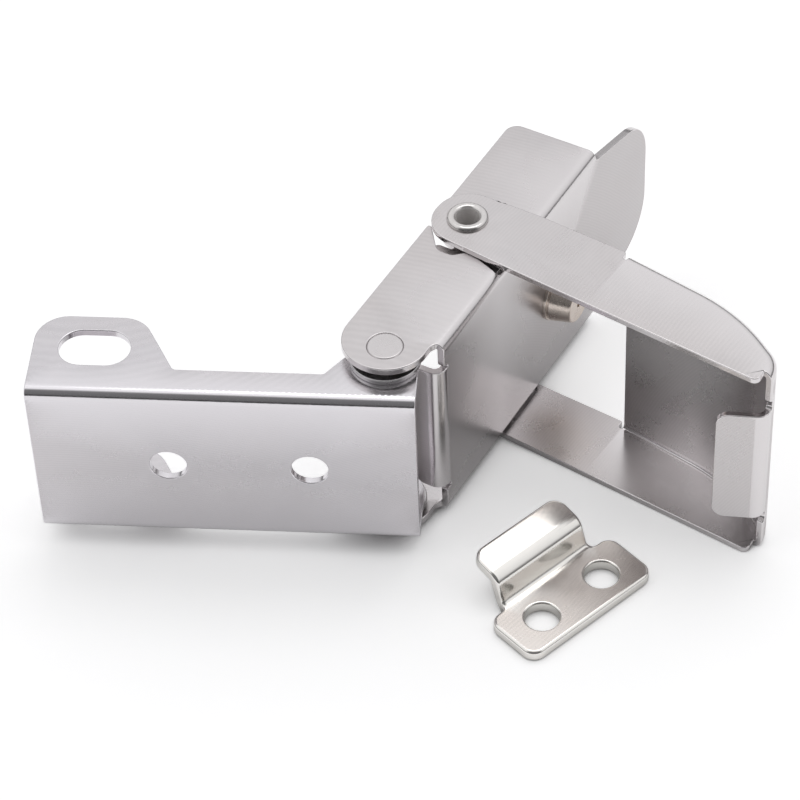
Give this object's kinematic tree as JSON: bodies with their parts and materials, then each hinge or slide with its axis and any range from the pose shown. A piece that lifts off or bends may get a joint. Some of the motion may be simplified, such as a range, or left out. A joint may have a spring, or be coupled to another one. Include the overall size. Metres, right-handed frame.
{
  "type": "over-centre toggle latch",
  "caption": "Bent-sheet over-centre toggle latch: channel base with padlock ears, hinged lever, swinging hook bail and separate raised-lip keeper.",
  "frame": {"origin": "middle of the base's flat mounting face", "axes": "+X along the base towards the lever's pivot, +Y away from the mounting face, +Z along both hinge axes, upwards in the pose shown"},
  "size_m": [0.1372, 0.1114, 0.0482],
  "materials": {
    "base_steel": "satin stainless sheet, faint arcs of grain",
    "washer_steel": "plain stainless, slightly darker",
    "lever_steel": "satin stainless sheet with softly polished bends",
    "pin_steel": "satin stainless, ends dressed flush",
    "stud_steel": "turned, warm nickel tone",
    "bail_steel": "satin stainless sheet",
    "tube_steel": "polished rolled rims",
    "keeper_steel": "tumbled and polished, warm nickel tone"
  },
  "bodies": {
    "base": {"base_bracket": "base_steel", "upper_pivot_washer": "washer_steel", "lower_pivot_washer": "washer_steel"},
    "lever": {"lever": "lever_steel", "main_pivot_pin": "pin_steel", "cone_stud": "stud_steel"},
    "bail": {"hook_bail": "bail_steel", "bail_axle_tube": "tube_steel"},
    "keeper": {"keeper_plate": "keeper_steel"}
  },
  "joints": [
    {"name": "lever_pivot", "type": "hinge", "parent": "base", "child": "lever", "pos_m": [0.0298, 0.0113, 0], "axis": [0, 0, 1], "range_deg": [-40, 113]},
    {"name": "bail_pivot", "type": "hinge", "parent": "lever", "child": "bail", "pos_m": [0.04289, 0.04494, 0], "axis": [0, 0, -1], "range_deg": [-27, 74]},
    {"name": "keeper_place", "type": "slide", "parent": "base", "child": "keeper", "axis": [0, 1, 0], "range_m": [-0.03, 0]}
  ],
  "couplings": [
    {"joint": "bail_pivot", "follows": "lever_pivot", "ratio": 0.654}
  ]
}
